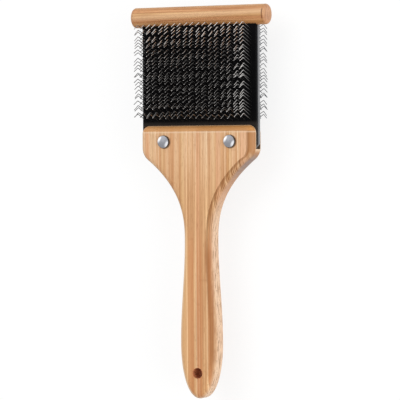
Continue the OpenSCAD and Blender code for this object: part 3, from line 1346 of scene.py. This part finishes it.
@dataclass
class PinField:
    """Rows of bent wire staples on one face of the head. The wire is round here, and a
    hundredth of a millimetre thicker than the square wire in the part's source."""

    datum: Datum
    face: Face
    seed: int
    wire_d: float = 0.46 * MM
    leaf_t: float = 0.6 * MM
    pad_t: float = 2.6 * MM
    bend_h: float = 13.2 * MM
    tip_h: float = 18.5 * MM
    lean_angle: float = 18.1
    hook_angle: float = 27.0
    bend_r: float = 1.1 * MM
    staple_w: float = 4.23 * MM
    staple_pitch: float = 9.15 * MM
    row_pitch: float = 2.41 * MM
    first_row: float = 2.1 * MM
    rows: int = 26
    staples: int = 9
    around: int = 6
    cut_share: float = 0.7
    cut_length: float = 0.25
    spread: float = 0.22 * MM
    sway: float = 0.16 * MM
    lean_drift: float = 0.70 * MM
    limber: float = 1.5
    sharp: float = 55.0
    # The cosine of half a turn at which the ring stretches no further, and the lengths of
    # vectors under which the wire counts as the crown, and as straight.
    least_cosine: float = 0.6
    crown_limit: float = 0.2
    straight_limit: float = 1e-6

    def leg(self) -> np.ndarray:
        """Centre line of one leg from the crown's corner to the tip: a leaning straight, the
        start, middle and end of a parabola round the bend, and the hook.

        Returns:
            Rows of distance along the brush and height from the middle of the head.
        """
        lean, hook = math.radians(self.lean_angle), math.radians(self.hook_angle)
        foot = np.array([0, self.leaf_t + self.wire_d / 2])
        bend_z = self.leaf_t + self.pad_t + self.bend_h
        bend = np.array([(self.pad_t + self.bend_h) * math.tan(lean), bend_z])
        cut_z = self.wire_d / 2 * self.cut_share * math.sin(hook)
        tip_z = self.leaf_t + self.pad_t + self.tip_h - cut_z
        tip = bend + np.array([-(tip_z - bend_z) * math.tan(hook), tip_z - bend_z])
        up = np.array([math.sin(lean), math.cos(lean)])
        back = np.array([-math.sin(hook), math.cos(hook)])
        reach = self.bend_r * math.tan((lean + hook) / 2)
        start, end = bend - up * reach, bend + back * reach
        middle = (start + end + 2 * bend) / 4
        shoulder = tip - back * self.wire_d * self.cut_length
        return np.array([foot, start, middle, end, shoulder, tip])

    def line(self) -> tuple[np.ndarray, np.ndarray, np.ndarray]:
        """Centre line of one staple from tip to tip.

        Returns:
            The points, the wire's radius at each, and for each whether it is on the left (0)
            or the right leg (1).
        """
        leg = self.leg()
        radius = np.full(len(leg), self.wire_d / 2)
        radius[-1] *= self.cut_share
        sides = np.repeat([0, 1], len(leg))
        x = (sides * 2 - 1)[:, None] * self.staple_w / 2
        points = np.concatenate([x, np.concatenate([leg[::-1], leg])], 1)
        return points, np.concatenate([radius[::-1], radius]), sides

    def staple(self) -> np.ndarray:
        """The wire's surface round one staple: at each point of the centre line a ring in
        the plane that halves the turn there. In the plane of the bend the ring is stretched
        by one over the cosine of half the turn, so that the wire keeps its width.

        Returns:
            Points by ring, place in the ring, and coordinate.
        """
        points, radius, _ = self.line()
        step = unit(np.diff(points, axis=0))
        before, after = np.vstack([step[:1], step]), np.vstack([step, step[-1:]])
        along = unit(before + after)
        stretch = 1 / np.clip(np.sum(along * after, 1), self.least_cosine, 1)
        bend_axis = np.cross(before, after)
        bend_axis[np.linalg.norm(bend_axis, axis=1) < self.straight_limit] = (1.0, 0, 0)
        inwards = np.cross(along, unit(bend_axis))
        across = np.array([1.0, 0, 0]) - along * along[:, :1]
        crown = np.linalg.norm(across, axis=1) < self.crown_limit
        across[crown] = np.array([0, 1.0, 0]) - along[crown] * along[crown, 1:2]
        across = unit(across)
        third = np.cross(along, across)
        turn = np.linspace(0, 2 * np.pi, self.around, endpoint=False)[:, None]
        ring = across[:, None] * np.cos(turn) + third[:, None] * np.sin(turn)
        share = np.sum(ring * inwards[:, None], -1, keepdims=True)
        ring = ring + (stretch[:, None, None] - 1) * share * inwards[:, None]
        return points[:, None] + radius[:, None, None] * ring

    def unevenness(self) -> np.ndarray:
        """How far the tips stand out of place: a random number for each leg, one for its
        staple, and along the brush one more for each row and lane, averaged with its
        neighbours in the next lanes.

        Returns:
            Distances by staple, leg, and axis (across, along).
        """
        chance = np.random.default_rng(self.seed)
        total = self.rows * self.staples
        drift = chance.normal(0, 1, (total, 2, 2)) * (self.spread, self.sway)
        drift += chance.normal(0, 1, (total, 1, 2)) * (self.spread, self.sway)
        raw = chance.normal(0, 1, (self.rows, self.staples + 2))
        lanes = raw[:, :-2] + 2 * raw[:, 1:-1] + raw[:, 2:]
        drift[..., 1] += self.lean_drift * (lanes / lanes.std()).reshape(-1, 1)
        return drift

    def wire(self) -> bpy.types.Object:
        """Sets every staple in its place. Each leg is out of place by its unevenness times
        a power of its free height.

        Returns:
            The new piece.
        """
        shell = self.staple()
        _, _, sides = self.line()
        count, around = shell.shape[:2]
        total = self.rows * self.staples
        row, lane = np.divmod(np.arange(total), self.staples)
        place_x = (lane - (self.staples - 1) / 2) * self.staple_pitch
        place_y = self.datum.fork_y + self.first_row + row * self.row_pitch
        free = np.clip((shell[..., 2] - self.leaf_t - self.pad_t) / self.tip_h, 0, 1)
        shift = self.unevenness()[:, sides][:, :, None, :] * (free**self.limber)[..., None]
        points = np.broadcast_to(shell, (total, count, around, 3)).copy()
        points[..., 0] += place_x[:, None, None] + shift[..., 0]
        points[..., 1] += place_y[:, None, None] + shift[..., 1]
        points[..., 2] = self.datum.mid_z + self.face.value * points[..., 2]
        starts = (np.arange(total) * count * around)[:, None, None]
        quads = (tube_faces(count, around) + starts).reshape(-1, 4)
        cap = np.arange(around)
        caps = (np.array([cap[::-1], (count - 1) * around + cap]) + starts).reshape(-1, around)
        name = f"{self.face.name.lower()}_pins_wire"
        return put_mesh(name, points.reshape(-1, 3), quads.tolist() + caps.tolist(), self.sharp)

    def build(self) -> None:
        """Makes the field and dresses it."""
        made = self.wire()
        tidy(made, self.sharp)
        even_flats(made)
        steel = FRONT_WIRE if self.face is Face.FRONT else SHADED_BACK_WIRE
        node = f"{self.face.name.lower()}_pins"
        settle(made, steel.material(self.datum), node)


@dataclass
class Rivet:
    """A two-part rivet: a head on a hollow shank, and a cap on the peg that fills it."""

    board: Handle
    hand: Hand
    head_r: float = 4.15 * MM
    rim_h: float = 1.2 * MM
    crown_h: float = 0.6 * MM
    shank_r: float = 2 * MM
    bore_r: float = 1.3 * MM
    peg_r: float = 1.25 * MM
    peg_gap: float = 0.3 * MM
    lip_r: float = 0.35 * MM
    lip_angle: float = 80.0
    lip_steps: int = 6
    crown_steps: int = 12
    sharp: float = 35.0

    @property
    def side(self) -> str:
        """The rivet's side, in words."""
        return self.hand.name.lower()

    @property
    def centre(self) -> Vector:
        """Middle of the rivet's axis."""
        board = self.board
        return Vector((self.hand.value * board.rivet_x, board.rivet_y, board.datum.mid_z))

    def head(self) -> list:
        """Outline of a head from its rim to its axis: a low wall, a rounded lip and a
        crown that rises as a cosine.

        Returns:
            Rows of radius and level.
        """
        seat = self.board.thickness / 2
        turn = arc(0, self.lip_angle, self.lip_steps)
        lip_x = self.head_r - self.lip_r * (1 - np.cos(turn))
        lip_z = seat + self.rim_h - self.lip_r + self.lip_r * np.sin(turn)
        reach = np.linspace(1, 0, self.crown_steps)[1:]
        crown = seat + self.rim_h + self.crown_h - lip_z[-1]
        crown_z = lip_z[-1] + crown * np.cos(reach * np.pi / 2)
        return [(self.head_r, seat), *zip(lip_x, lip_z), *zip(lip_x[-1] * reach, crown_z)]

    def turned(self, name: str, rows: list, level_sign: int, node: str) -> None:
        """Turns one half and dresses it.

        Args:
            name: the piece's name.
            rows: its profile, as rows of radius and level.
            level_sign: 1 for the front half, -1 for the back half.
            node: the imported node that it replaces.
        """
        profile = np.array(rows) * (1, level_sign)
        made = lathe(name, profile, self.centre, sharp=self.sharp)
        settle(made, RIVET_METAL.material(self), node)

    def build(self) -> None:
        """Makes both halves: the head on its hollow shank, and the cap on its peg."""
        seat = self.board.thickness / 2
        end = self.peg_gap - seat
        bore, shank, peg = self.bore_r, self.shank_r, self.peg_r
        tube = [(0, seat), (bore, seat), (bore, -seat), (shank, -seat), (shank, seat)]
        pin = [(0, end), (peg, end), (peg, seat)]
        self.turned(f"{self.side}_rivet_head", tube + self.head(), 1, f"{self.side}_rivet")
        self.turned(f"{self.side}_rivet_back", pin + self.head(), -1, f"{self.side}_rivet_cap")


@dataclass
class Head:
    """The pads and spring leaves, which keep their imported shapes."""

    datum: Datum

    def build(self) -> None:
        """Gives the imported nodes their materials."""
        steel = SHEET_STEEL.material(self.datum)
        looks = {
            "front_pad": BLACK_RUBBER.material(self.datum),
            "back_pad": GREY_RUBBER.material(self.datum),
            "front_leaf": steel,
            "back_leaf": steel,
        }
        for name, look in looks.items():
            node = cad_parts[name]
            node.data.materials.clear()
            node.data.materials.append(look)
            log.info("%s: keeps its packed shape", name)


@dataclass
class Studio:
    """A pale floor, soft light and the photograph's camera."""

    datum: Datum
    turn: float = 26.0
    lift: float = 0.7
    roll: float = -0.27
    distance: float = 1.70
    focal_px: float = 2545.0
    frame_px: float = 400.0
    sensor_mm: float = 36.0
    aim: tuple = (-1.05 * MM, -49.69 * MM)
    floor_size: float = 12.0
    floor_tone: float = 0.24
    floor_glow: float = 0.80
    floor_bounce: float = 0.8
    air: float = 0.5

    def camera(self) -> None:
        """Sets the camera: it looks at the front face from the brush's right. Its axes are
        worked out from the turn and the lift, then turned by the roll."""
        turn, lift, roll = (math.radians(a) for a in (self.turn, self.lift, self.roll))
        level = math.cos(lift)
        back = Vector((math.sin(turn) * level, math.sin(lift), math.cos(turn) * level))
        right = Vector((0, 1, 0)).cross(back).normalized()
        up = back.cross(right)
        sine, cosine = math.sin(roll), math.cos(roll)
        right, up = right * cosine + up * sine, up * cosine - right * sine
        target = Vector((self.aim[0], self.datum.fork_y + self.aim[1], self.datum.mid_z))
        lens = bpy.data.cameras.new("photo_camera")
        lens.sensor_width = self.sensor_mm
        lens.lens = self.focal_px / self.frame_px * self.sensor_mm
        made = bpy.data.objects.new("photo_camera", lens)
        axes = Matrix((right, up, back)).transposed().to_4x4()
        made.matrix_world = Matrix.Translation(target + back * self.distance) @ axes
        bpy.context.scene.collection.objects.link(made)
        bpy.context.scene.camera = made

    def lamp(self, name: str, towards: tuple, distance: float, size: float, power: float) -> None:
        """Hangs a square soft lamp.

        Args:
            name: the lamp's name.
            towards: direction of the lamp from the brush.
            distance: its distance.
            size: length of its sides.
            power: its power in watts.
        """
        light = bpy.data.lights.new(name, "AREA")
        light.size = size
        light.energy = power
        made = bpy.data.objects.new(name, light)
        way = Vector(towards).normalized()
        made.location = way * distance
        made.rotation_euler = way.to_track_quat("Z", "Y").to_euler()
        bpy.context.scene.collection.objects.link(made)

    def floor(self) -> None:
        """Lays a pale floor. The camera and reflections see it near white, with the soft
        shadow, and all other light bounces off it as off plain white paint."""
        half = self.floor_size / 2
        points = np.array([[-half, -half, 0], [half, -half, 0], [half, half, 0], [-half, half, 0]])
        floor = put_mesh("floor", points, [(0, 1, 2, 3)])
        kit = Kit("pale_floor")
        paint = {
            "Base Color": (*(self.floor_bounce,) * 3, 1.0),
            "Roughness": 0.9,
            "Specular IOR Level": 0.0,
        }
        kit.feed(kit.shader, paint)
        tone = (*(self.floor_tone,) * 3, 1.0)
        matt = kit.node("ShaderNodeBsdfDiffuse", {}, {"Color": tone}).outputs[0]
        glow = {"Color": WHITE, "Strength": self.floor_glow}
        glow = kit.node("ShaderNodeEmission", {}, glow).outputs[0]
        seen = kit.node("ShaderNodeAddShader", {}, {0: matt, 1: glow}).outputs[0]
        kit.by_sight(kit.shader.outputs[0], seen, "Material Output")
        floor.data.materials.append(kit.material)

    def world(self) -> None:
        """Fills the scene with soft light from all round; the camera and reflections see
        it white."""
        world = bpy.data.worlds.new("studio_air")
        world.use_nodes = True
        bpy.context.scene.world = world
        kit = Kit.around(world.node_tree)
        soft, white = (
            kit.node("ShaderNodeBackground", {}, {"Color": WHITE, "Strength": strength}).outputs[0]
            for strength in (self.air, 1.0)
        )
        kit.by_sight(soft, white, "World Output")

    def build(self) -> None:
        """Sets up the whole studio."""
        self.camera()
        self.floor()
        self.world()
        self.lamp("key_lamp", towards=(-0.45, 0.55, 0.85), distance=1.4, size=1.2, power=8.0)
        self.lamp("side_lamp", towards=(1.0, -0.1, 0.45), distance=1.5, size=1.2, power=12.0)
        bpy.context.scene.view_settings.view_transform = "Standard"
        log.info("studio: camera at %.0f degrees to the right", self.turn)


def main() -> None:
    """Builds the brush piece by piece, then the studio round it."""
    logging.basicConfig(level=logging.INFO, format="%(name)s: %(message)s")
    datum = Datum.of_frame()
    handle = Handle(datum)
    handle.build()
    TopBar(datum).build()
    Head(datum).build()
    PinField(datum, Face.FRONT, seed=11).build()
    PinField(datum, Face.BACK, seed=12).build()
    for hand in Hand:
        Rivet(handle, hand).build()
    Studio(datum).build()


if __name__ == "__main__":
    main()
